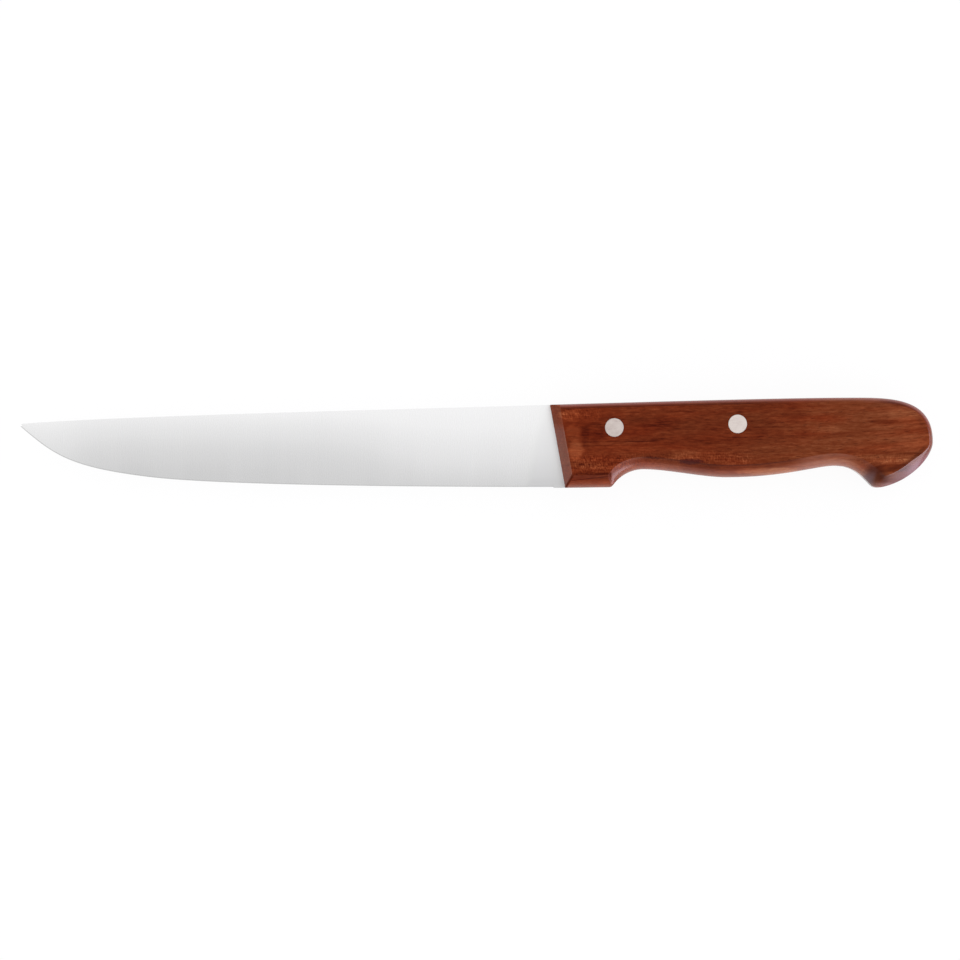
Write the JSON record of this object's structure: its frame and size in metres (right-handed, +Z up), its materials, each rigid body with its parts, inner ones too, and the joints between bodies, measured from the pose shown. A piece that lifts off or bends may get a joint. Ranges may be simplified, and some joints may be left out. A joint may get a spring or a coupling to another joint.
{
  "type": "carving knife",
  "caption": "Carving knife with a long, slightly drop-pointed blade and a contoured, bevelled hardwood handle fixed by flush round rivets.",
  "frame": {"origin": "the knife lies on its side; the origin is under the middle of its bounding box, on the plane of the handle's lower cheek", "axes": "+X runs along the straight part of the cutting edge from the tip towards the rear end of the handle, +Y from the cutting edge towards the spine, +Z up through the thickness of the blade and handle"},
  "size_m": [0.3064, 0.0302, 0.017],
  "materials": {
    "blade_steel": "fine satin, ground",
    "handle_wood": "satin varnish over reddish hardwood",
    "rivet_metal": "matt, sanded flush"
  },
  "bodies": {
    "root": {"blade": "blade_steel", "handle": "handle_wood", "front_rivet_sleeve": "rivet_metal", "front_rivet_stem": "rivet_metal", "rear_rivet_sleeve": "rivet_metal", "rear_rivet_stem": "rivet_metal"}
  },
  "joints": []
}
